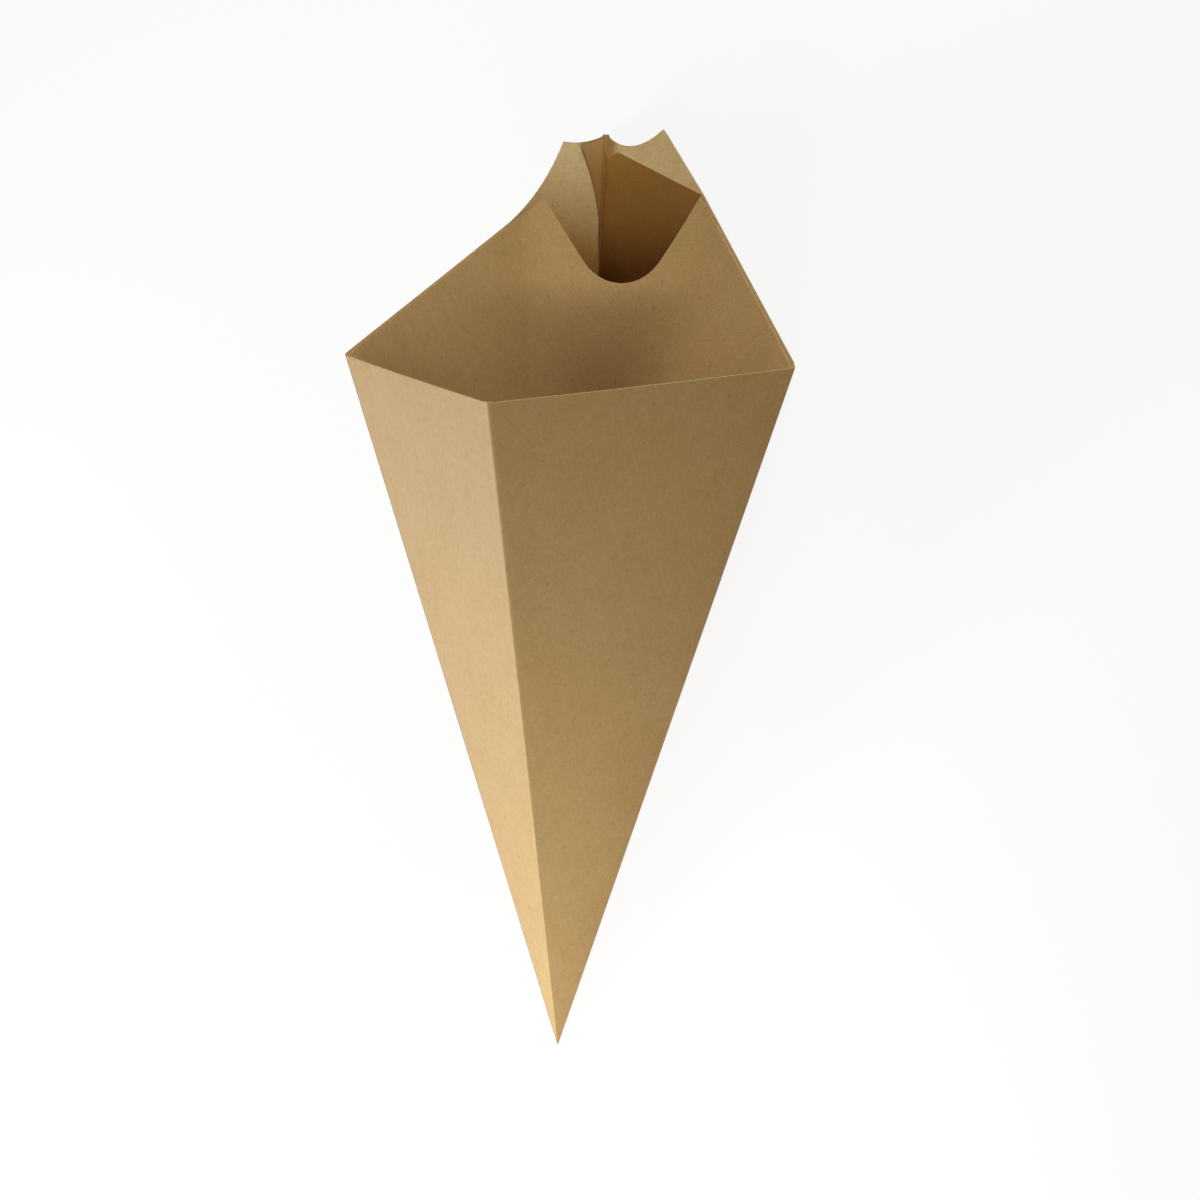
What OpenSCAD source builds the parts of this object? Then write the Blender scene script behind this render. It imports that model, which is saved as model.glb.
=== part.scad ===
// Paper food cone with a sauce pocket, folded from one sheet of kraft board.
// Four flat panels meet at the tip. A fifth panel, the divider, bows across the back corner and
// leaves the pocket behind it. The cone lies on its back right panel, with the mouth towards +Y.

/* [Cone] */
// Length of the side folds and the front fold, from the tip to the front rim
slant = 180; // [150:1:220]
// Angle at the tip of the narrow front panel
front_left_angle = 24.5; // [22:0.5:27]
// Angle at the tip of the wide front panel
front_right_angle = 29.5; // [27:0.5:32]
// Angle at the tip of each of the two back panels
back_angle = 27; // [25:0.5:29]
// Angle at the tip between the two side folds, which says how far the cone is opened
mouth_angle = 35.5; // [33:0.5:39]
// Thickness of the sheet
sheet_t = 0.35; // [0.25:0.05:0.6]

/* [Back wall] */
// Rise of the middle peak, on the back crease, above the front rim
peak_rise = 57.5; // [50:0.5:64]
// Distance of the left ear from the back crease
left_ear_across = 15; // [13:0.5:19]
// Rise of the left ear above the front rim
left_ear_rise = 51.5; // [46:0.5:56]
// Distance of the left shoulder, where the slope turns up to the ear, from the back crease
left_shoulder_across = 31.5; // [28:0.5:36]
// Rise of the left shoulder above the front rim
left_shoulder_rise = 26; // [22:0.5:30]
// Radius of the sweep from the left shoulder up to the ear
ear_sweep_r = 75; // [50:5:120]
// Distance of the right ear from the back crease
right_ear_across = 25; // [21:0.5:29]
// Rise of the right ear above the front rim
right_ear_rise = 53; // [46:0.5:60]
// Distance of the right shoulder from the back crease
right_shoulder_across = 43; // [39:0.5:48]
// Rise of the right shoulder above the front rim
right_shoulder_rise = 31.5; // [27:0.5:36]
// Radius of the scallop between the left ear and the middle peak
left_scallop_r = 32; // [24:1:60]
// Radius of the scallop between the right ear and the middle peak
right_scallop_r = 23; // [19:1:40]

/* [Divider] */
// Angle from the back crease at which the divider leaves the back left panel
bow_left_angle = 8; // [6:0.5:11]
// Angle from the back crease at which the divider leaves the back right panel
bow_right_angle = 12.5; // [10:0.5:16]
// How full the bow is: 0 is a flat divider, 1 follows the back panels into the corner
bow_fullness = 0.75; // [0.5:0.05:0.85]
// Radius at the bottom of the finger notch in the divider
notch_r = 14; // [10:0.5:18]
// Angle between the two sides of the finger notch
notch_angle = 75; // [65:1:90]
// Rise of the bottom of the finger notch above the front rim
notch_rise = 13; // [5:0.5:20]
// Angle at the tip from the middle of the bow to the middle of the notch, towards the right
notch_shift = 0.5; // [0:0.1:1]
// Step from the edge of an outer panel down to the edge of the layer inside it
edge_step = 0.6; // [0.3:0.1:1.5]

/* [Liner] */
// Rise of the liner's edge above the front rim, at the back crease
liner_crease_rise = 50; // [42:0.5:52]
// Distance from the back crease of the liner's corner
liner_corner_across = 6.5; // [3:0.5:9]
// Rise of the liner's corner above the front rim
liner_corner_rise = 51; // [44:0.5:52]
// Width of the glue tab where it meets the edge of the back wall
tab_w = 9; // [5:0.5:13]
// Rise of the glue tab's lower end above the front rim
tab_rise = 24; // [12:0.5:32]
// Radius of the glue tab's hollow free edge
tab_sweep_r = 57; // [40:1:90]

/* [Hidden] */
$fn = 96;
kraft = "#b8925c";
bow_steps = 20;
bow_overlap = 0.7;
tip_r = 20 * sheet_t;
past = 2 * sheet_t;
blunt = 1.2 * sheet_t;
far = 3 * slant;

function unit(v) = v / norm(v);

// Unit ray at angle a from ray p and angle b from ray q, on the side that cross(p, q) points to
function third_ray(p, q, a, b) =
    let (
        c = p * q,
        base = ((cos(a) - cos(b) * c) * p + (cos(b) - cos(a) * c) * q) / (1 - c * c)
    )
    base + sqrt(1 - base * base) * unit(cross(p, q));

// Unit ray at angle a from a crease, turned towards the ray side
function turned(crease, side, a) = cos(a) * crease + sin(a) * unit(side - (side * crease) * crease);

// Inward normal of the panel from ray p to ray q
function inward(p, q) = unit(cross(q, p));

// The four creases as unit rays from the tip
right = [sin(back_angle / 2), cos(back_angle / 2), 0];
back = [-sin(back_angle / 2), cos(back_angle / 2), 0];
left = third_ray(right, back, mouth_angle, back_angle);
front = third_ray(right, left, front_right_angle, front_left_angle);

in_back_left = inward(left, back);
in_back_right = inward(back, right);
in_front_right = inward(right, front);
in_front_left = inward(front, left);

// Plane of the front rim, through the ends of the side folds and of the front fold
rim_across = unit(left - right);
in_rim = unit(cross(front - right, left - right));

// Point on the resting panel below the middle of the cone
rest_y = 2 / 3 * slant * cos(back_angle / 2);

// Corners of the back panels, as distance across from the back crease and along it from the tip
peak = [0, slant + peak_rise];
side_corner = slant * [sin(back_angle), cos(back_angle)];
left_ear = [left_ear_across, slant + left_ear_rise];
left_shoulder = [left_shoulder_across, slant + left_shoulder_rise];
right_ear = [right_ear_across, slant + right_ear_rise];
right_shoulder = [right_shoulder_across, slant + right_shoulder_rise];
liner_corner = [liner_corner_across, slant + liner_corner_rise];

// Distance from the tip at which a ray, at angle a from the back crease, crosses the line p to q
function ray_to_line(p, q, a) = cross(p, q) / cross([sin(a), cos(a)], q - p);

// Point of the back left panel's slope on a ray at angle a from the back crease
function slope_point(a) = ray_to_line(side_corner, left_shoulder, a) * [sin(a), cos(a)];

// Centre of the circle of radius r through p and q, on the left of the way from p to q
function arc_centre(p, q, r) =
    let (half = (q - p) / 2, side = unit([-half.y, half.x]))
    p + half + side * sqrt(r * r - half * half);

// The divider's bow is a parabola from one back panel to the other, seen from the tip
bow_from = turned(back, left, bow_left_angle);
bow_to = turned(back, right, bow_right_angle);
bow_middle = bow_fullness * back + (1 - bow_fullness) * (bow_from + bow_to) / 2;
bow_shares = [for (i = [0 : bow_steps]) i / bow_steps];
bow_rays = [
    for (s = bow_shares)
        unit((1 - s) * (1 - s) * bow_from + 2 * s * (1 - s) * bow_middle + s * s * bow_to)
];
bow_ways = [for (s = bow_shares) (1 - s) * (bow_middle - bow_from) + s * (bow_to - bow_middle)];

// Angle from the bow's start to each of its rays, measured along the sheet
bow_turns = [
    for (i = 0, a = 0; i <= bow_steps;
         a = a + (i < bow_steps ? asin(norm(cross(bow_rays[i], bow_rays[i + 1]))) : 0), i = i + 1) a
];
bow_turn = bow_turns[bow_steps];

// Edge of the divider, as distance from the tip: two slopes with the finger notch between them.
// The notch is a V with a round bottom.
notch_centre_r = slant + notch_rise + notch_r;
notch_steep = 90 - notch_angle / 2;
notch_side = [notch_r * sin(notch_steep), notch_centre_r - notch_r * cos(notch_steep)];
notch_way = [cos(notch_steep), sin(notch_steep)];
function notch_bottom(a) =
    let (off = notch_centre_r * sin(a))
    notch_centre_r * cos(a) - sqrt(notch_r * notch_r - off * off);
function notch_edge(a) =
    abs(a) < atan(notch_side.x / notch_side.y)
        ? notch_bottom(a)
        : ray_to_line(notch_side, notch_side + notch_way, abs(a));
function left_slope(a) = norm(slope_point(a)) - edge_step;
function right_slope(a) = ray_to_line(side_corner, right_shoulder, a) - edge_step;
function bow_edge(a) = min(
    notch_edge(a - bow_turn / 2 - notch_shift),
    left_slope(bow_left_angle - a),
    right_slope(bow_right_angle - bow_turn + a)
);

// Places a flat outline: its Y runs along the crease, its Z points into the cone
module on_panel(crease, normal) {
    side = cross(crease, normal);
    multmatrix([
        [side.x, crease.x, normal.x, 0],
        [side.y, crease.y, normal.y, 0],
        [side.z, crease.z, normal.z, 0],
        [0, 0, 0, 1]
    ]) children();
}

// Everything on the inner side of a plane through the tip
module inside_of(crease, normal)
    on_panel(crease, normal)
        translate([-far, -far, 0])
            cube([2 * far, 2 * far, far]);

module below_rim()
    translate(slant * right + sheet_t * in_rim)
        inside_of(rim_across, in_rim);

// The die leaves the middle peak a little blunt
module below_peak()
    translate((slant + peak_rise - blunt) * back)
        inside_of(in_back_right, -back);

// Round cut through two corners of an outline, met in that order anticlockwise
module scallop(p, q, r)
    translate(arc_centre(q, p, r))
        circle(r);

// Outline of a back panel with a blunt ear, and with a margin past its two creases and its peak,
// where it is trimmed later
module back_outline(shoulder, ear)
    polygon([
        [-past, -3 * past],
        side_corner + past * unit(side_corner - shoulder),
        shoulder,
        ear + blunt * unit(shoulder - ear),
        ear + blunt * unit(peak - ear),
        peak,
        [-past, peak.y]
    ]);

module back_right_outline()
    difference() {
        back_outline(right_shoulder, right_ear);
        scallop(right_ear, peak, right_scallop_r);
    }

module back_left_outline()
    difference() {
        back_outline(left_shoulder + past * unit(left_shoulder - side_corner), left_ear);
        scallop(left_shoulder, left_ear, ear_sweep_r);
        scallop(left_ear, peak, left_scallop_r);
    }

// Triangle with a margin past its creases and the rim, where it is trimmed later
module front_outline(angle)
    polygon([
        [-past, -4 * past],
        (slant + past) * [sin(angle), cos(angle)] + past * [cos(angle), -sin(angle)],
        [-past, slant + 4 * past]
    ]);

// Second layer on the back right panel, up to a straight edge below the ears
module liner_outline()
    intersection() {
        translate([0, -edge_step])
            back_right_outline();
        polygon([
            [-slant, -slant],
            [slant, -slant],
            2 * right_shoulder - liner_corner,
            liner_corner,
            [0, slant + liner_crease_rise],
            [-slant, slant + liner_crease_rise]
        ]);
    }

// Tapered end of the liner, folded round the back crease onto the back left panel
module tab_outline() {
    low = [0, slant + tab_rise];
    high = [tab_w, slant + left_ear_rise];
    difference() {
        intersection() {
            translate([0, -edge_step])
                back_left_outline();
            translate([-past, low.y])
                square([tab_w + past, peak.y - low.y]);
        }
        scallop(low, high, tab_sweep_r);
    }
}

// Flat part of the divider, glued to the back left panel from the left fold to the bow's start
module lap_outline() {
    step = [0, edge_step];
    side = slope_point(back_angle + 1) - step;
    end = slope_point(bow_left_angle - bow_overlap) - step;
    intersection() {
        back_left_outline();
        polygon([[0, 0], [0, -slant], [slant, -slant], side, end]);
    }
}

module sheet()
    linear_extrude(sheet_t)
        children();

// A layer glued to the inside of a panel
module inner_layer()
    translate([0, 0, sheet_t / 2])
        linear_extrude(1.5 * sheet_t)
            children();

// Each panel ends at the outer faces of the three other panels
module back_right_panel()
    intersection() {
        on_panel(back, in_back_right) {
            sheet() back_right_outline();
            inner_layer() liner_outline();
        }
        below_peak();
        inside_of(back, in_back_left);
        inside_of(front, in_front_left);
        inside_of(front, in_front_right);
    }

module back_left_panel()
    intersection() {
        on_panel(back, in_back_left)
            mirror([1, 0, 0]) {
                sheet() back_left_outline();
                inner_layer() tab_outline();
                inner_layer() lap_outline();
            }
        below_peak();
        inside_of(back, in_back_right);
        inside_of(front, in_front_left);
        inside_of(front, in_front_right);
    }

module front_right_panel()
    intersection() {
        on_panel(front, in_front_right)
            mirror([1, 0, 0])
                sheet() front_outline(front_right_angle);
        inside_of(front, in_front_left);
        inside_of(back, in_back_left);
        inside_of(back, in_back_right);
        below_rim();
    }

module front_left_panel()
    intersection() {
        on_panel(front, in_front_left)
            sheet() front_outline(front_left_angle);
        inside_of(front, in_front_right);
        inside_of(back, in_back_left);
        inside_of(back, in_back_right);
        below_rim();
    }

// Bowed part of the divider, ruled through the tip, from inside one back panel to inside the other
module bow() {
    points = [
        for (i = [0 : bow_steps])
            let (
                ray = bow_rays[i],
                seat = sheet_t / 2 * ((1 - bow_shares[i]) * in_back_left + bow_shares[i] * in_back_right),
                face = seat + sheet_t * unit(cross(bow_ways[i], ray)),
                edge = bow_edge(bow_turns[i])
            )
            each [tip_r * ray + seat, edge * ray + seat, edge * ray + face, tip_r * ray + face]
    ];
    strips = [
        for (i = [0 : bow_steps - 1], k = [0 : 3])
            let (here = 4 * i, next = here + 4)
            [next + k, next + (k + 1) % 4, here + (k + 1) % 4, here + k]
    ];
    last = 4 * bow_steps;
    polyhedron(points, concat(strips, [[0, 1, 2, 3], [last + 3, last + 2, last + 1, last]]), 4);
}

module paper_cone()
    color(kraft)
        translate([0, -rest_y, 0]) {
            back_right_panel();
            back_left_panel();
            front_right_panel();
            front_left_panel();
            bow();
        }

paper_cone();
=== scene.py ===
import math

import bpy
import numpy as np
from mathutils import Matrix, Vector


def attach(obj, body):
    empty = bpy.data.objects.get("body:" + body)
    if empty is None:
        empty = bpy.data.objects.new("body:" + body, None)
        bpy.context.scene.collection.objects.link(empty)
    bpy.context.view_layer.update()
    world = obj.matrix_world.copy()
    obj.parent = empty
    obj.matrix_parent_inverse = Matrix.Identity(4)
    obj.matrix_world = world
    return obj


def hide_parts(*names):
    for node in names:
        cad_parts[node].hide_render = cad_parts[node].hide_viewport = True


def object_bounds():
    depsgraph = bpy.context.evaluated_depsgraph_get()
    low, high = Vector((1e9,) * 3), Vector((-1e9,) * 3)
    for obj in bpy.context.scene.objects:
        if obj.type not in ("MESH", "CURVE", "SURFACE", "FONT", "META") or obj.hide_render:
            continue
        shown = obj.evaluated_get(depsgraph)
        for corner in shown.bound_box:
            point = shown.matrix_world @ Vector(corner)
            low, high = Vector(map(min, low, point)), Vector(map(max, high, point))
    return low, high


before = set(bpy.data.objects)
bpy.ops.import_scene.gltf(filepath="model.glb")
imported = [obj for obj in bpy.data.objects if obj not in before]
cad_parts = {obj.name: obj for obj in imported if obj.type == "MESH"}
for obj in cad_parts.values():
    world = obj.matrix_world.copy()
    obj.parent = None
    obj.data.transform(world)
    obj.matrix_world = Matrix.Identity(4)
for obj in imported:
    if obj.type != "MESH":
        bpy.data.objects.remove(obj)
cad_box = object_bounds()

# Sizes of the part in millimetres and degrees, as in the part's source
SLANT = 180.0
FRONT_LEFT, FRONT_RIGHT, BACK, MOUTH = 24.5, 29.5, 27.0, 35.5
T = 0.35
PEAK = np.array([0.0, SLANT + 57.5])
LEFT_EAR = np.array([15.0, SLANT + 51.5])
LEFT_SHOULDER = np.array([31.5, SLANT + 26.0])
RIGHT_EAR = np.array([25.0, SLANT + 53.0])
RIGHT_SHOULDER = np.array([43.0, SLANT + 31.5])
EAR_SWEEP_R, LEFT_SCALLOP_R, RIGHT_SCALLOP_R = 75.0, 32.0, 23.0
BOW_LEFT, BOW_RIGHT = 8.0, 12.5
BOW_PULL = 0.5
NOTCH_R, NOTCH_ANGLE, NOTCH_RISE, NOTCH_SHIFT = 14.0, 75.0, 13.0, 0.5
EDGE_STEP = 0.6
LINER_CREASE = np.array([0.0, SLANT + 50.0])
LINER_CORNER = np.array([6.5, SLANT + 51.0])
TAB_LOW = np.array([0.0, SLANT + 24.0])
TAB_HIGH = np.array([9.0, SLANT + 51.5])
TAB_SWEEP_R = 57.0
BLUNT = 0.42
RIM_STEP = 0.35
# How far the liner's straight edge stays below its line, and the tab's least height
LINER_STEP = 0.1
TAB_LEAST = 0.3


def rad(a):
    return a * math.pi / 180.0


def unit(v):
    return v / np.linalg.norm(v)


def third_ray(p, q, a, b):
    ca, cb, c = math.cos(rad(a)), math.cos(rad(b)), p @ q
    base = ((ca - cb * c) * p + (cb - ca * c) * q) / (1 - c * c)
    return base + math.sqrt(1 - base @ base) * unit(np.cross(p, q))


def across(crease, side):
    return unit(side - (side @ crease) * crease)


RIGHT = np.array([math.sin(rad(BACK / 2)), math.cos(rad(BACK / 2)), 0.0])
BACKC = RIGHT * np.array([-1.0, 1.0, 1.0])
LEFT = third_ray(RIGHT, BACKC, MOUTH, BACK)
FRONT = third_ray(RIGHT, LEFT, FRONT_RIGHT, FRONT_LEFT)
N_BL = unit(np.cross(BACKC, LEFT))
N_BR = unit(np.cross(RIGHT, BACKC))
N_FR = unit(np.cross(FRONT, RIGHT))
N_FL = unit(np.cross(LEFT, FRONT))
REST = np.array([0.0, 2 / 3 * SLANT * math.cos(rad(BACK / 2)), 0.0])
SIDE_CORNER = SLANT * np.array([math.sin(rad(BACK)), math.cos(rad(BACK))])


# Outlines, as distance from the tip along a ray at an angle from the crease
def cross2(p, q):
    return p[0] * q[1] - p[1] * q[0]


def ray_to_line(p, q, a):
    d = np.array([math.sin(rad(a)), math.cos(rad(a))])
    return cross2(p, q) / cross2(d, q - p)


def arc_centre(p, q, r):
    half = (q - p) / 2
    side = unit(np.array([-half[1], half[0]]))
    return p + half + side * math.sqrt(r * r - half @ half)


def ray_to_arc(p, q, r, a, far_side=False):
    c = arc_centre(q, p, r)
    d = np.array([math.sin(rad(a)), math.cos(rad(a))])
    along = c @ d
    half = math.sqrt(max(r * r - (c @ c - along * along), 0.0))
    return along + half if far_side else along - half


def angle_of(p):
    return math.degrees(math.atan2(p[0], p[1]))


def back_left_edge(a):
    if a >= angle_of(LEFT_SHOULDER):
        r = ray_to_line(SIDE_CORNER, LEFT_SHOULDER, a)
    elif a >= angle_of(LEFT_EAR):
        r = ray_to_arc(LEFT_SHOULDER, LEFT_EAR, EAR_SWEEP_R, a)
    else:
        r = ray_to_arc(LEFT_EAR, PEAK, LEFT_SCALLOP_R, a)
    return min(r, (PEAK[1] - BLUNT) / math.cos(rad(a)))


def back_right_edge(a):
    if a >= angle_of(RIGHT_SHOULDER):
        r = ray_to_line(SIDE_CORNER, RIGHT_SHOULDER, a)
    elif a >= angle_of(RIGHT_EAR):
        r = ray_to_line(RIGHT_SHOULDER, RIGHT_EAR, a)
    else:
        r = ray_to_arc(RIGHT_EAR, PEAK, RIGHT_SCALLOP_R, a)
    return min(r, (PEAK[1] - BLUNT) / math.cos(rad(a)))


def front_edge(angle):
    top = SLANT * np.array([math.sin(rad(angle)), math.cos(rad(angle))])
    return lambda a: ray_to_line(top, np.array([0.0, SLANT]), a) - RIM_STEP


def liner_edge(a):
    if a >= angle_of(RIGHT_SHOULDER):
        return back_right_edge(a) - EDGE_STEP
    if a >= angle_of(LINER_CORNER):
        return ray_to_line(RIGHT_SHOULDER, LINER_CORNER, a) - LINER_STEP
    return ray_to_line(LINER_CORNER, LINER_CREASE, a) - LINER_STEP


def tab_top(a):
    return back_left_edge(a) - EDGE_STEP


def tab_low(a):
    sweep = ray_to_arc(TAB_LOW, TAB_HIGH, TAB_SWEEP_R, a, far_side=True)
    return min(sweep, tab_top(a) - TAB_LEAST)


# The divider's bow, as a smooth curve of rays from one back panel to the other
BOW_FROM = math.cos(rad(BOW_LEFT)) * BACKC + math.sin(rad(BOW_LEFT)) * across(BACKC, LEFT)
BOW_TO = math.cos(rad(BOW_RIGHT)) * BACKC + math.sin(rad(BOW_RIGHT)) * across(BACKC, RIGHT)
BOW_FROM_FLAT = BOW_FROM / (BOW_FROM @ BACKC)
BOW_TO_FLAT = BOW_TO / (BOW_TO @ BACKC)
BOW_NUDGE = 1e-4


def bow_point(s):
    p1 = BOW_FROM_FLAT + BOW_PULL * (BACKC - BOW_FROM_FLAT)
    p2 = BOW_TO_FLAT + BOW_PULL * (BACKC - BOW_TO_FLAT)
    k = 1 - s
    return k ** 3 * BOW_FROM_FLAT + 3 * k * k * s * p1 + 3 * k * s * s * p2 + s ** 3 * BOW_TO_FLAT


def bow_way(s):
    return bow_point(s + BOW_NUDGE) - bow_point(s - BOW_NUDGE)


# Angle along the sheet from the bow's start, at fine steps of the curve
FINE_STEPS = 600
FINE_S = np.linspace(0.0, 1.0, FINE_STEPS + 1)
FINE_RAYS = [unit(bow_point(s)) for s in FINE_S]
FINE_TURNS = np.degrees(np.concatenate([[0.0], np.cumsum([
    math.asin(np.linalg.norm(np.cross(p, q))) for p, q in zip(FINE_RAYS[:-1], FINE_RAYS[1:])])]))
BOW_TURN = FINE_TURNS[-1]

# The finger notch is a V with a round bottom
NOTCH_CENTRE = SLANT + NOTCH_RISE + NOTCH_R
NOTCH_WAY = np.array([math.sin(rad(NOTCH_ANGLE / 2)), math.cos(rad(NOTCH_ANGLE / 2))])
NOTCH_SIDE = np.array([NOTCH_R * NOTCH_WAY[1], NOTCH_CENTRE - NOTCH_R * NOTCH_WAY[0]])


def notch_edge(a):
    a = abs(a)
    if a >= angle_of(NOTCH_SIDE):
        return ray_to_line(NOTCH_SIDE, NOTCH_SIDE + NOTCH_WAY, a)
    off = NOTCH_CENTRE * math.sin(rad(a))
    return NOTCH_CENTRE * math.cos(rad(a)) - math.sqrt(NOTCH_R ** 2 - off * off)


def left_slope(a):
    return ray_to_line(SIDE_CORNER, LEFT_SHOULDER, a) - EDGE_STEP


def right_slope(a):
    return ray_to_line(SIDE_CORNER, RIGHT_SHOULDER, a) - EDGE_STEP


def bow_edges(a):
    return [left_slope(BOW_LEFT - a), notch_edge(a - BOW_TURN / 2 - NOTCH_SHIFT),
            right_slope(BOW_RIGHT - BOW_TURN + a)]


def bow_edge(a):
    return min(bow_edges(a))


# Columns of the bow, with one at each corner of its edge
lowest = [int(np.argmin(bow_edges(a))) for a in FINE_TURNS]
notch_corners = [FINE_TURNS[i] for i in range(1, len(lowest)) if lowest[i] != lowest[i - 1]]
BOW_STEPS = 48
BOW_TURNS = np.array(sorted(list(np.linspace(0.0, BOW_TURN, BOW_STEPS + 1)) + notch_corners))
BOW_S = np.interp(BOW_TURNS, FINE_TURNS, FINE_S)
BOW_RAYS = [unit(bow_point(s)) for s in BOW_S]


# The sheet is a list of columns from the glue tab to the end of the back left panel. Each column
# follows a ray from the tip on both faces of the sheet, A and B, with offsets in millimetres:
# off_a and off_b are constant, and soft grows from the tip to the rim, for the round of a fold.
class Column:
    painted_shade_a = lining_b = shade = ((0.0, 1.0), (0.0, 0.0))

    def __init__(self, ray, off_a, off_b, top, low, turn, soft=None, wear=0.0, bend=None):
        self.ray, self.off_a, self.off_b = ray, off_a, off_b
        self.top, self.low, self.turn = top, low, turn
        self.soft = np.zeros(3) if soft is None else soft
        self.wear = wear
        self.bend = bend


# Softness of a fold in millimetres, and the steps across it
FOLD_R = 0.7
FOLD_STEPS = 6
# Where the outer panels and the inner layers start, as distance from the tip
TIP_LOW = 0.3
INNER_LOW = 14.0
# Gap between layers, and the near and far faces of the second and third layer
GAP = 0.04
SECOND_NEAR, SECOND_FAR = T + GAP, 2 * T + GAP
THIRD_NEAR, THIRD_FAR = 2 * T + 2 * GAP, 3 * T + 2 * GAP
# The sheet's turn back on itself at the right fold
U_TURN_IN = 0.75
U_TURN_STEPS = 8
# Angles of the columns beside a fold
NEAR = (0.45, 0.9, 1.6)
SAME_ANGLE = 1e-6
# Angle over which a fold's wear fades, and one that stands for no fold near
WEAR_WIDTH = 0.42
NO_FOLD_NEAR = 9.0
# Waves of a wall's bend, along and across the panel
BEND_ALONG, BEND_ACROSS = 2.2, 5.0


def mitre(crease, n1, o1, n2, o2):
    return np.linalg.solve(np.array([crease, n1, n2]), np.array([0.0, o1, o2]))


def fold(crease, side1, n1, a1, b1, side2, n2, a2, b2, tops, low, turn,
         size=FOLD_R, steps=FOLD_STEPS, wear=1.0):
    u1, u2 = across(crease, side1), across(crease, side2)
    m_a, m_b = mitre(crease, n1, a1, n2, a2), mitre(crease, n1, b1, n2, b2)
    out = []
    for k in range(steps + 1):
        s = k / steps
        soft = size * ((1 - s) ** 2 * u1 + s * s * u2)
        lo = low(s) if callable(low) else low
        top = tops[0] + (tops[1] - tops[0]) * s
        out.append(Column(crease, m_a, m_b, top, lo, turn, soft, wear=wear))
    return out


def wear_at(a):
    return math.exp(-(a / WEAR_WIDTH) ** 2)


def flat(crease, side, normal, angles, off_a, off_b, edge, low, turn0, sign, bend, width):
    u = across(crease, side)
    out = []
    for ang in angles:
        ray = math.cos(rad(ang)) * crease + math.sin(rad(ang)) * u
        lo = low(ang) if callable(low) else low
        near = min(ang, width - ang) if width else NO_FOLD_NEAR
        out.append(Column(ray, off_a * normal, off_b * normal, edge(ang), lo, turn0 + sign * ang,
                          wear=wear_at(near), bend=bend(ang) if bend else None))
    return out


def spread(width, step, corners=(), near_first=NEAR, near_last=NEAR):
    lo, hi = near_first[-1], width - near_last[-1]
    n = int(math.ceil((hi - lo) / step))
    values = list(np.linspace(lo, hi, n + 1)) + [c for c in corners if lo < c < hi]
    values += list(near_first[:-1]) + [width - v for v in near_last[:-1]]
    values = sorted(values)
    return [v for i, v in enumerate(values) if i == 0 or v - values[i - 1] > SAME_ANGLE]


# Slight bend of each wall, inwards, as a share of the way to the rim
def wall_bend(normal, width, most, skew):
    def at(a):
        f = a / width
        shape = math.sin(math.pi * f) ** 2

        def depth(r):
            v = r / SLANT
            wave = 1 + skew * np.sin(BEND_ALONG * v + BEND_ACROSS * f)
            return most * shape * v * v * wave * normal[None, :]
        return depth
    return at


bend_br = wall_bend(N_BR, BACK, 0.25, 0.3)
bend_bl = wall_bend(N_BL, BACK, 0.35, 0.3)
bend_fr = wall_bend(-N_FR, FRONT_RIGHT, 0.5, 0.4)
bend_fl = wall_bend(-N_FL, FRONT_LEFT, 0.35, 0.4)

LEFT_CORNERS = (angle_of(LEFT_EAR), angle_of(LEFT_SHOULDER))
RIGHT_CORNERS = (angle_of(RIGHT_EAR), angle_of(RIGHT_SHOULDER))
STEP = 0.5

# Painted shade and painted light on each inner face against distance from the tip, 1 dark and
# -1 light: painted shade deepening into the pocket on its liner, its tab and its fold, then
# painted light, for light through the single sheet, and painted shade on the back wall's single
# layers
LINER_PAINTED_SHADE = ((SLANT + 18, SLANT + 32, SLANT + 44, SLANT + 56), (1.0, 0.70, 0.55, 0.28))
TAB_PAINTED_SHADE = ((SLANT + 18, SLANT + 32, SLANT + 44, SLANT + 56), (0.95, 0.60, 0.44, 0.12))
CORNER_PAINTED_SHADE = ((SLANT + 18, SLANT + 44, SLANT + 56), (1.0, 0.70, 0.42))
POCKET_PAINTED_SHADE_LIGHT = ((SLANT + 12, SLANT + 22, SLANT + 34, SLANT + 48), (1.0, 0.55, 0.0, -1.0))
EAR_PAINTED_LIGHT = ((SLANT + 32, SLANT + 42), (0.0, -0.85))
PEAK_PAINTED_SHADE = ((SLANT + 12, SLANT + 22, SLANT + 34, SLANT + 50), (1.0, 0.6, 0.35, 0.25))
OVER_TAB_PAINTED_SHADE = 0.45
# Shade on the food side of the divider, in its hollow and beside the side folds
HOLLOW_SHADE = ((SLANT - 40, SLANT - 10, SLANT + 6, SLANT + 14), (1.0, 0.92, 0.60, 0.0))
HOLLOW_SPREAD = 7.5, 11.5
SIDE_SHADE = ((SLANT - 40, SLANT - 12, SLANT + 6), (0.95, 0.64, 0.0))
# Where the side shade starts and how fast it grows, in degrees, and its share on the right
SIDE_FROM, SIDE_WIDTH, SIDE_RIGHT = 8.0, 16.0, 0.85
SHADE_AT = np.linspace(SLANT - 40, SLANT + 14, 28)

# The inner layer's fold round the back corner. Its foot follows the tab on the left, and on
# the right it drops to the liner's foot, which runs on down beside the crease.
INNER_FOLD_R = 0.6
INNER_FOLD_ANGLE = 0.4
INNER_FOLD_STEPS = 10
LINER_DROP, LINER_DROP_ANGLE = 120.0, 1.6


def inner_fold_low(s):
    if s > 0.5:
        return TAB_LOW[1] - LINER_DROP * (2 * s - 1)
    return tab_low(math.degrees(math.atan(INNER_FOLD_R * (1 - 2 * s) / SLANT)))


# Counts of columns, and where flat parts and tones stop, in degrees
TAB_COLUMNS, RIGHT_FLAT_COLUMNS, LEFT_FLAT_COLUMNS = 10, 22, 26
POCKET_COLUMNS, PEAK_COLUMNS = 6, 2
TAB_SHORT, RIGHT_STOP, POCKET_MARGIN = 0.02, 3.2, 1.0
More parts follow.
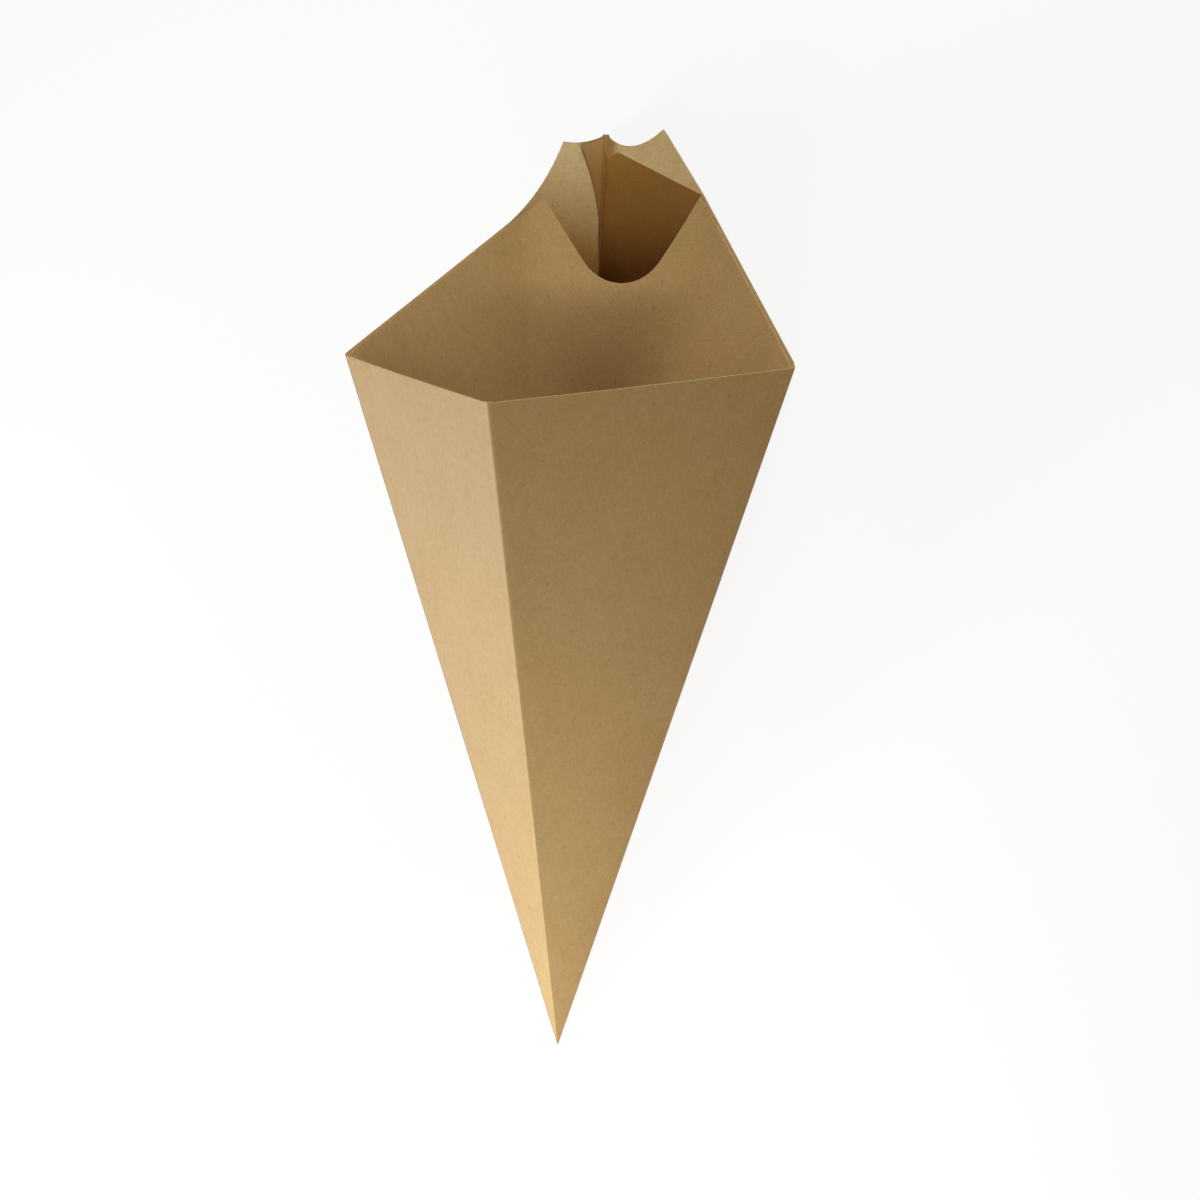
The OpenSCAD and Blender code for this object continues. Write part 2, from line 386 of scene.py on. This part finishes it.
# Foot of the lap at the left fold, and the angle over which it rises to the inner layers' start
LAP_FOOT, LAP_FOOT_ANGLE = 2.0, 6.0
# Round and wear of the sheet's end
END_ROUND, END_WEAR = 0.2, 0.3

columns = []
# Glue tab on the back left panel, then the fold round the back crease
tab_angle = angle_of(TAB_HIGH) - TAB_SHORT
tab = list(np.linspace(INNER_FOLD_ANGLE, tab_angle, TAB_COLUMNS))
columns += flat(BACKC, LEFT, N_BL, tab[::-1], SECOND_FAR, SECOND_NEAR, tab_top, tab_low,
                tab_angle, -1, bend_bl, 0)
turn = tab_angle
fold_start = len(columns)
columns += fold(BACKC, LEFT, N_BL, SECOND_FAR, SECOND_NEAR, RIGHT, N_BR, SECOND_FAR, SECOND_NEAR,
                (tab_top(0.0), liner_edge(0.0)), inner_fold_low, turn,
                INNER_FOLD_R, INNER_FOLD_STEPS, 0.0)
fold_end = len(columns)
# Liner on the back right panel
liner_angles = spread(BACK, STEP, (angle_of(LINER_CORNER), angle_of(RIGHT_SHOULDER)),
                      near_first=(INNER_FOLD_ANGLE,), near_last=(RIGHT_STOP,))


def liner_low(a):
    return max(INNER_LOW, (TAB_LOW[1] - LINER_DROP) * (1 - a / LINER_DROP_ANGLE))


liner_end = len(columns) + sum(a < BOW_RIGHT + POCKET_MARGIN for a in liner_angles)
columns += flat(BACKC, RIGHT, N_BR, liner_angles, SECOND_FAR, SECOND_NEAR, liner_edge, liner_low,
                turn, 1, bend_br, 0)
turn += BACK
# Fold back at the right side fold
u_right = across(RIGHT, BACKC)
for k in range(U_TURN_STEPS + 1):
    phi = math.pi * k / U_TURN_STEPS
    centre = (2 * T + 1.5 * GAP) * N_BR + U_TURN_IN * u_right
    way = -math.cos(phi) * N_BR - math.sin(phi) * u_right
    columns.append(Column(RIGHT, centre + GAP / 2 * way, centre + (T + GAP / 2) * way,
                          right_slope(BACK), INNER_LOW, turn))
# Divider: flat on the liner, bowed across the back corner, flat on the back left panel
divider_start = len(columns)
right_flat = list(np.linspace(BACK - RIGHT_STOP, BOW_RIGHT, RIGHT_FLAT_COLUMNS))[:-1]
columns += flat(BACKC, RIGHT, N_BR, right_flat, THIRD_NEAR, THIRD_FAR, right_slope, INNER_LOW,
                turn + BACK, -1, bend_br, 0)
turn += BACK - BOW_RIGHT
bow_start = len(columns)
for s, ray, t in list(zip(BOW_S, BOW_RAYS, BOW_TURNS))[::-1]:
    normal = unit(np.cross(bow_way(s), ray))
    if normal @ (N_BR + N_BL) < 0:
        normal = -normal
    a = THIRD_NEAR * s + SECOND_NEAR * (1 - s)
    columns.append(Column(ray, a * normal, (a + T) * normal, bow_edge(t), INNER_LOW,
                          turn + BOW_TURN - t))
bow_centre = turn + BOW_TURN / 2
turn += BOW_TURN
# Painted shade on the pocket's liner, tab and corner fold, deeper towards the tip
for col in columns[:liner_end] + columns[bow_start:]:
    col.painted_shade_a = LINER_PAINTED_SHADE
for col in columns[:fold_start]:
    col.painted_shade_a = TAB_PAINTED_SHADE
for col in columns[fold_start:fold_end]:
    col.painted_shade_a = CORNER_PAINTED_SHADE


def lap_low(a):
    return LAP_FOOT + (INNER_LOW - LAP_FOOT) * min(1.0, (BACK - a) / LAP_FOOT_ANGLE)


left_flat = list(np.linspace(BOW_LEFT, BACK - NEAR[-1], LEFT_FLAT_COLUMNS))[1:]
columns += flat(BACKC, LEFT, N_BL, left_flat, SECOND_NEAR, SECOND_FAR, left_slope, lap_low,
                turn - BOW_LEFT, 1, bend_bl, 0)
turn += BACK - BOW_LEFT
for col in columns[divider_start:]:
    past = col.turn - bow_centre
    hollow = math.exp(-(past / HOLLOW_SPREAD[int(past > 0)]) ** 2)
    beside = min(max((abs(past) - SIDE_FROM) / SIDE_WIDTH, 0.0), 1.0)
    beside *= 1.0 if past > 0 else SIDE_RIGHT
    col.shade = (SHADE_AT, hollow * np.interp(SHADE_AT, *HOLLOW_SHADE)
                 + beside * np.interp(SHADE_AT, *SIDE_SHADE))
front_left_edge, front_right_edge = front_edge(FRONT_LEFT), front_edge(FRONT_RIGHT)
columns += fold(LEFT, BACKC, N_BL, SECOND_NEAR, SECOND_FAR, FRONT, N_FL, 0.0, T,
                (left_slope(BACK), front_left_edge(FRONT_LEFT)), LAP_FOOT, turn)
# Front panels
columns += flat(FRONT, LEFT, N_FL, spread(FRONT_LEFT, STEP)[::-1], 0.0, T, front_left_edge, TIP_LOW,
                turn + FRONT_LEFT, -1, bend_fl, FRONT_LEFT)
turn += FRONT_LEFT
columns += fold(FRONT, LEFT, N_FL, 0.0, T, RIGHT, N_FR, 0.0, T,
                (front_left_edge(0.0), front_right_edge(0.0)), TIP_LOW, turn)
columns += flat(FRONT, RIGHT, N_FR, spread(FRONT_RIGHT, STEP), 0.0, T, front_right_edge, TIP_LOW,
                turn, 1, bend_fr, FRONT_RIGHT)
turn += FRONT_RIGHT
columns += fold(RIGHT, FRONT, N_FR, 0.0, T, BACKC, N_BR, 0.0, T,
                (front_right_edge(FRONT_RIGHT), back_right_edge(BACK)), TIP_LOW, turn)
# Back panels
back_start = len(columns)
columns += flat(BACKC, RIGHT, N_BR, spread(BACK, STEP, RIGHT_CORNERS)[::-1], 0.0, T,
                back_right_edge, TIP_LOW, turn + BACK, -1, bend_br, BACK)
turn += BACK
pocket_start, peak_start = len(columns) - POCKET_COLUMNS, len(columns) - PEAK_COLUMNS
columns += fold(BACKC, RIGHT, N_BR, 0.0, T, LEFT, N_BL, 0.0, T,
                (back_right_edge(0.0), back_left_edge(0.0)), TIP_LOW, turn)
back_left_angles = spread(BACK, STEP, LEFT_CORNERS)
peak_end = len(columns)
over_tab_end = len(columns) + sum(a < tab_angle for a in back_left_angles)
pocket_end = len(columns) + sum(a < BOW_LEFT + POCKET_MARGIN for a in back_left_angles)
columns += flat(BACKC, LEFT, N_BL, back_left_angles, 0.0, T, back_left_edge, TIP_LOW,
                turn, 1, bend_bl, BACK)
# Painted light and shade on the back wall's single layer: ears and pocket top lighter, deep in
# darker
for col in columns[back_start:pocket_start]:
    col.lining_b = EAR_PAINTED_LIGHT
for col in columns[pocket_start:pocket_end]:
    col.lining_b = POCKET_PAINTED_SHADE_LIGHT
for col in columns[peak_start:peak_end]:
    col.lining_b = PEAK_PAINTED_SHADE
for col in columns[peak_end:over_tab_end]:
    col.lining_b = (POCKET_PAINTED_SHADE_LIGHT[0] + (col.top,), POCKET_PAINTED_SHADE_LIGHT[1] + (OVER_TAB_PAINTED_SHADE,))
turn += BACK
columns.append(Column(LEFT, 0.0 * N_BL, T * N_BL, back_left_edge(BACK), TIP_LOW, turn,
                      soft=END_ROUND * across(LEFT, BACKC), wear=END_WEAR))

# Rows of points from the tip to the edge. The sheet thins towards the tip over TIP_THIN
# millimetres. FOLD_SHARE spreads the texture over a fold, and FACE_SHIFT parts the two faces.
ROWS = 72
TIP_THIN = 2.0
FOLD_SHARE = 0.6
FACE_SHIFT = 50.0
METRES, MILLIMETRES = 0.001, 1000
SHARP_ANGLE = 50
N_COLS = len(columns)
share = np.linspace(0.0, 1.0, ROWS)
points = np.zeros((N_COLS, ROWS, 2, 3))
flat_xy = np.zeros((N_COLS, ROWS, 2, 3))
wear = np.zeros((N_COLS, ROWS, 2))
lining = np.zeros((N_COLS, ROWS, 2))
shade = np.zeros((N_COLS, ROWS, 2))
for c, col in enumerate(columns):
    r = col.low + (col.top - col.low) * share
    body = r[:, None] * col.ray[None, :] + (r / SLANT)[:, None] * col.soft[None, :]
    if col.bend is not None:
        body = body + col.bend(r[:, None])
    thin = (r / (r + TIP_THIN))[:, None]
    points[c, :, 0] = body + thin * col.off_a
    points[c, :, 1] = body + thin * col.off_b
    a = rad(col.turn - turn / 2)
    side = FOLD_SHARE * col.soft @ np.ones(3) if col.soft.any() else 0.0
    flat_xy[c, :, :, 0] = (r * math.sin(a) + side * math.cos(a))[:, None]
    flat_xy[c, :, :, 1] = (r * math.cos(a) - side * math.sin(a))[:, None]
    flat_xy[c, :, 1, 2] = FACE_SHIFT
    wear[c, :, 0] = col.wear
    lining[c, :, 0] = np.interp(r, *col.painted_shade_a)
    lining[c, :, 1] = np.interp(r, *col.lining_b)
    shade[c, :, 1] = np.interp(r, *col.shade)
points = np.clip(points - REST, MILLIMETRES * np.array(cad_box[0]),
                 MILLIMETRES * np.array(cad_box[1]))


def vid(c, k, f):
    return (c * ROWS + k) * 2 + f


faces, cut = [], []
for c in range(N_COLS - 1):
    for k in range(ROWS - 1):
        faces.append((vid(c, k, 0), vid(c + 1, k, 0), vid(c + 1, k + 1, 0), vid(c, k + 1, 0)))
        faces.append((vid(c, k, 1), vid(c, k + 1, 1), vid(c + 1, k + 1, 1), vid(c + 1, k, 1)))
        cut += [0, 0]
    last = ROWS - 1
    faces.append((vid(c, last, 0), vid(c + 1, last, 0), vid(c + 1, last, 1), vid(c, last, 1)))
    faces.append((vid(c, 0, 0), vid(c, 0, 1), vid(c + 1, 0, 1), vid(c + 1, 0, 0)))
    cut += [1, 1]
for k in range(ROWS - 1):
    e = N_COLS - 1
    faces.append((vid(0, k, 0), vid(0, k + 1, 0), vid(0, k + 1, 1), vid(0, k, 1)))
    faces.append((vid(e, k, 0), vid(e, k, 1), vid(e, k + 1, 1), vid(e, k + 1, 0)))
    cut += [1, 1]

mesh = bpy.data.meshes.new("folded_sheet")
mesh.from_pydata((points.reshape(-1, 3) * METRES).tolist(), [], faces)
mesh.polygons.foreach_set("material_index", cut)
mesh.polygons.foreach_set("use_smooth", [True] * len(faces))
attribute = mesh.attributes.new("sheet", "FLOAT_VECTOR", "POINT")
attribute.data.foreach_set("vector", (flat_xy.reshape(-1, 3) * METRES).ravel())
# Point attributes: fold wear, painted light and shade of the inner faces, painted shade on the
# divider's food side
for name, values in (("wear", wear), ("lining", lining), ("shade", shade)):
    attribute = mesh.attributes.new(name, "FLOAT", "POINT")
    attribute.data.foreach_set("value", values.ravel())
mesh.validate()
mesh.set_sharp_from_angle(angle=rad(SHARP_ANGLE))
sheet = bpy.data.objects.new("folded_sheet", mesh)
bpy.context.scene.collection.objects.link(sheet)
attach(sheet, "root")
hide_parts("paper_cone")


# Materials
def new_material(name):
    mat = bpy.data.materials.new(name)
    mat.use_nodes = True
    nt = mat.node_tree
    return mat, nt, nt.nodes["Principled BSDF"]


def attribute_node(nt, name, output):
    n = nt.nodes.new("ShaderNodeAttribute")
    n.attribute_name = name
    return n.outputs[output]


def mapped(nt, vector, turn, stretch):
    n = nt.nodes.new("ShaderNodeMapping")
    n.vector_type = "TEXTURE"
    n.inputs["Rotation"].default_value = (0.0, 0.0, rad(turn))
    n.inputs["Scale"].default_value = (1.0, stretch, 1.0)
    nt.links.new(vector, n.inputs["Vector"])
    return n.outputs["Vector"]


def noise(nt, vector, size, detail=2.0, rough=0.5, distort=0.0):
    n = nt.nodes.new("ShaderNodeTexNoise")
    n.inputs["Scale"].default_value = 1.0 / size
    n.inputs["Detail"].default_value = detail
    n.inputs["Roughness"].default_value = rough
    n.inputs["Distortion"].default_value = distort
    nt.links.new(vector, n.inputs["Vector"])
    return n.outputs["Fac"]


def ramp(nt, fac, lo, hi, to_lo=0.0, to_hi=1.0):
    n = nt.nodes.new("ShaderNodeMapRange")
    n.inputs["From Min"].default_value = lo
    n.inputs["From Max"].default_value = hi
    n.inputs["To Min"].default_value = to_lo
    n.inputs["To Max"].default_value = to_hi
    nt.links.new(fac, n.inputs["Value"])
    return n.outputs["Result"]


def mix(nt, fac, a, b, blend="MIX"):
    n = nt.nodes.new("ShaderNodeMix")
    n.data_type = "RGBA"
    n.blend_type = blend
    for socket, value in ((n.inputs[0], fac), (n.inputs[6], a), (n.inputs[7], b)):
        if isinstance(value, (int, float)):
            socket.default_value = value
        elif isinstance(value, tuple):
            socket.default_value = (*value, 1.0)
        else:
            nt.links.new(value, socket)
    return n.outputs[2]


def math_node(nt, op, a, b):
    n = nt.nodes.new("ShaderNodeMath")
    n.operation = op
    for socket, value in ((n.inputs[0], a), (n.inputs[1], b)):
        if isinstance(value, (int, float)):
            socket.default_value = value
        else:
            nt.links.new(value, socket)
    return n.outputs[0]


# Sizes of the paper's patterns in metres, the ways of its fibres, and the tints of the painted
# shade and of the painted light and shade on the inner faces: light, half dark, dark
CLOUD, BROAD, GRAIN, STREAK = 0.0034, 0.017, 0.00042, 0.0011
FIBRE, SPOT = 0.00030, 0.0006
FIBRE_TURNS = (8.0, 52.0, -41.0)
SHADE_TINT = (0.41, 0.35, 0.29)
PAINTED_LIGHT_SHADE_TINTS = ((1.38, 1.62, 1.90), (0.60, 0.46, 0.24), (0.16, 0.075, 0.016))


# Kraft board: cloudy pulp, fine fibres in several directions, a few dark shives, worn folds,
# and painted light and shade from the attributes
def kraft(name, base, dark, light, shive):
    mat, nt, bsdf = new_material(name)
    flat_at = attribute_node(nt, "sheet", "Vector")
    cloud = noise(nt, flat_at, CLOUD, 3.0, 0.55)
    broad = noise(nt, flat_at, BROAD, 2.0, 0.5)
    grain = noise(nt, mapped(nt, flat_at, 0, 3.0), GRAIN, 4.0, 0.65)
    streak = noise(nt, mapped(nt, flat_at, 0, 30.0), STREAK, 2.0, 0.5)
    colour = mix(nt, ramp(nt, cloud, 0.3, 0.7, 0.0, 0.42), base, dark)
    colour = mix(nt, ramp(nt, broad, 0.35, 0.7, 0.0, 0.22), colour, light)
    colour = mix(nt, ramp(nt, streak, 0.42, 0.72, 0.0, 0.2), colour, light)
    colour = mix(nt, ramp(nt, grain, 0.5, 0.28, 0.0, 0.5), colour, dark)
    colour = mix(nt, ramp(nt, grain, 0.5, 0.74, 0.0, 0.5), colour, light)
    fibres = None
    for way in FIBRE_TURNS:
        strand = noise(nt, mapped(nt, flat_at, way, 11.0), FIBRE, 1.0, 0.4, 0.4)
        pale = ramp(nt, strand, 0.66, 0.76, 0.0, 0.5)
        deep = ramp(nt, strand, 0.33, 0.24, 0.0, 0.42)
        colour = mix(nt, pale, colour, light)
        colour = mix(nt, deep, colour, dark)
        fibres = strand if fibres is None else math_node(nt, "ADD", fibres, strand)
    spots = noise(nt, mapped(nt, flat_at, 24.0, 3.2), SPOT, 0.0)
    colour = mix(nt, ramp(nt, spots, 0.80, 0.84, 0.0, 0.45), colour, shive)
    worn = attribute_node(nt, "wear", "Fac")
    scuff = math_node(nt, "MULTIPLY", worn, ramp(nt, grain, 0.3, 0.7, 0.08, 0.5))
    colour = mix(nt, scuff, colour, light)
    # Painted light and shade on the inner faces, tinted from light through half dark to dark
    painted_at = attribute_node(nt, "lining", "Fac")
    painted_tint = mix(nt, ramp(nt, painted_at, 0.0, -1.0), (1.0, 1.0, 1.0), PAINTED_LIGHT_SHADE_TINTS[0])
    painted_tint = mix(nt, ramp(nt, painted_at, 0.0, 0.5), painted_tint, PAINTED_LIGHT_SHADE_TINTS[1])
    painted_tint = mix(nt, ramp(nt, painted_at, 0.5, 1.0), painted_tint, PAINTED_LIGHT_SHADE_TINTS[2])
    colour = mix(nt, 1.0, colour, painted_tint, "MULTIPLY")
    colour = mix(nt, attribute_node(nt, "shade", "Fac"), colour, SHADE_TINT, "MULTIPLY")
    nt.links.new(colour, bsdf.inputs["Base Color"])
    height = math_node(nt, "ADD", math_node(nt, "MULTIPLY", fibres, 0.5), grain)
    height = math_node(nt, "ADD", height, math_node(nt, "MULTIPLY", cloud, 0.9))
    bump = nt.nodes.new("ShaderNodeBump")
    bump.inputs["Strength"].default_value = 0.16
    bump.inputs["Distance"].default_value = 0.0003
    nt.links.new(height, bump.inputs["Height"])
    nt.links.new(bump.outputs["Normal"], bsdf.inputs["Normal"])
    nt.links.new(ramp(nt, grain, 0.3, 0.7, 0.66, 0.52), bsdf.inputs["Roughness"])
    bsdf.inputs["Specular IOR Level"].default_value = 0.12
    return mat


mesh.materials.append(kraft(
    "kraft_board", (0.605, 0.377, 0.147), (0.510, 0.300, 0.106), (0.700, 0.470, 0.215),
    (0.27, 0.155, 0.06)))
mesh.materials.append(kraft(
    "kraft_cut_edge", (0.45, 0.29, 0.122), (0.38, 0.235, 0.092), (0.53, 0.36, 0.165),
    (0.30, 0.18, 0.08)))

# Floor and light
FLOOR_HALF, FLOOR_Z = 6.0, -0.0002
floor_mesh = bpy.data.meshes.new("floor")
floor_mesh.from_pydata(
    [(x * FLOOR_HALF, y * FLOOR_HALF, 0) for x, y in ((-1, -1), (1, -1), (1, 1), (-1, 1))],
    [], [(0, 1, 2, 3)])
floor = bpy.data.objects.new("floor", floor_mesh)
floor.location.z = FLOOR_Z
bpy.context.scene.collection.objects.link(floor)


# 1 where the background is seen directly or in a reflection, 0 where it only gives light
def seen(nt):
    path = nt.nodes.new("ShaderNodeLightPath")
    rays = [path.outputs["Is %s Ray" % kind] for kind in ("Glossy", "Transmission", "Camera")]
    return math_node(nt, "MAXIMUM", rays[2], math_node(nt, "MAXIMUM", rays[0], rays[1]))


FLOOR_GLOW, FLOOR_WHITE = 0.64, 1.35
mat, nt, bsdf = new_material("floor_white")
bsdf.inputs["Base Color"].default_value = (0.46, 0.42, 0.35, 1.0)
bsdf.inputs["Roughness"].default_value = 0.9
bsdf.inputs["Specular IOR Level"].default_value = 0.0
glow = nt.nodes.new("ShaderNodeEmission")
glow.inputs["Color"].default_value = (0.975, 0.98, 0.993, 1.0)
glow.inputs["Strength"].default_value = FLOOR_WHITE
blend = nt.nodes.new("ShaderNodeMixShader")
nt.links.new(math_node(nt, "MULTIPLY", seen(nt), FLOOR_GLOW), blend.inputs[0])
nt.links.new(bsdf.outputs[0], blend.inputs[1])
nt.links.new(glow.outputs[0], blend.inputs[2])
nt.links.new(blend.outputs[0], nt.nodes["Material Output"].inputs["Surface"])
floor_mesh.materials.append(mat)

AMBIENT, AMBIENT_TINT = 0.13, (1.0, 0.74, 0.42)
world = bpy.data.worlds.new("studio")
bpy.context.scene.world = world
world.use_nodes = True
nt = world.node_tree
background = nt.nodes["Background"]
sky = mix(nt, seen(nt), tuple(v * AMBIENT for v in AMBIENT_TINT), (1.0, 1.0, 1.0))
nt.links.new(sky, background.inputs["Color"])
background.inputs["Strength"].default_value = 1.0


def area(name, where, aim, size, power, colour):
    data = bpy.data.lights.new(name, "AREA")
    data.shape = "SQUARE"
    data.size = size
    data.energy = power
    data.color = colour
    lamp = bpy.data.objects.new(name, data)
    bpy.context.scene.collection.objects.link(lamp)
    where, aim = Vector(where), Vector(aim)
    lamp.location = where
    lamp.rotation_euler = (aim - where).to_track_quat("-Z", "Y").to_euler()
    lamp.visible_camera = False


KEY_UP, KEY_ROUND, KEY_FAR, KEY_SHIFT = 31.0, 182.0, 0.6, -0.28
key_way = Vector((math.cos(rad(KEY_UP)) * math.cos(rad(KEY_ROUND)),
                  math.cos(rad(KEY_UP)) * math.sin(rad(KEY_ROUND)), math.sin(rad(KEY_UP))))
area("key", key_way * KEY_FAR + Vector((0, KEY_SHIFT, 0)), (0, -0.02, 0.04), 0.2, 2.22,
     (0.97, 1.09, 1.27))
area("mouth_fill", (0.2, 0.98, 0.2), (0, 0.03, 0.04), 0.5, 7.3, (0.98, 1.10, 1.23))
area("top_fill", (0.1, 0.25, 1.3), (0, 0, 0.04), 0.8, 3.2, (0.98, 1.06, 1.15))
area("tip_fill", (0.095, -0.26, 0.12), (0, -0.09, 0.01), 0.1, 0.48, (0.98, 1.09, 1.25))

# Camera, from a fit of the folds' ends to the photograph
camera_data = bpy.data.cameras.new("camera")
camera_data.sensor_width = 36.0
camera_data.lens = 108.2923
camera = bpy.data.objects.new("camera", camera_data)
bpy.context.scene.collection.objects.link(camera)
cam_right = Vector((0.57558594, 0.19142161, -0.79502113))
cam_down = Vector((0.11447600, -0.98150422, -0.15344288))
cam_back = cam_right.cross(-cam_down)
camera.matrix_world = Matrix((
    (cam_right.x, -cam_down.x, cam_back.x, 0.7223406),
    (cam_right.y, -cam_down.y, cam_back.y, -0.0032071),
    (cam_right.z, -cam_down.z, cam_back.z, 0.5369955),
    (0, 0, 0, 1)))
bpy.context.scene.camera = camera
bpy.context.scene.view_settings.view_transform = "Standard"
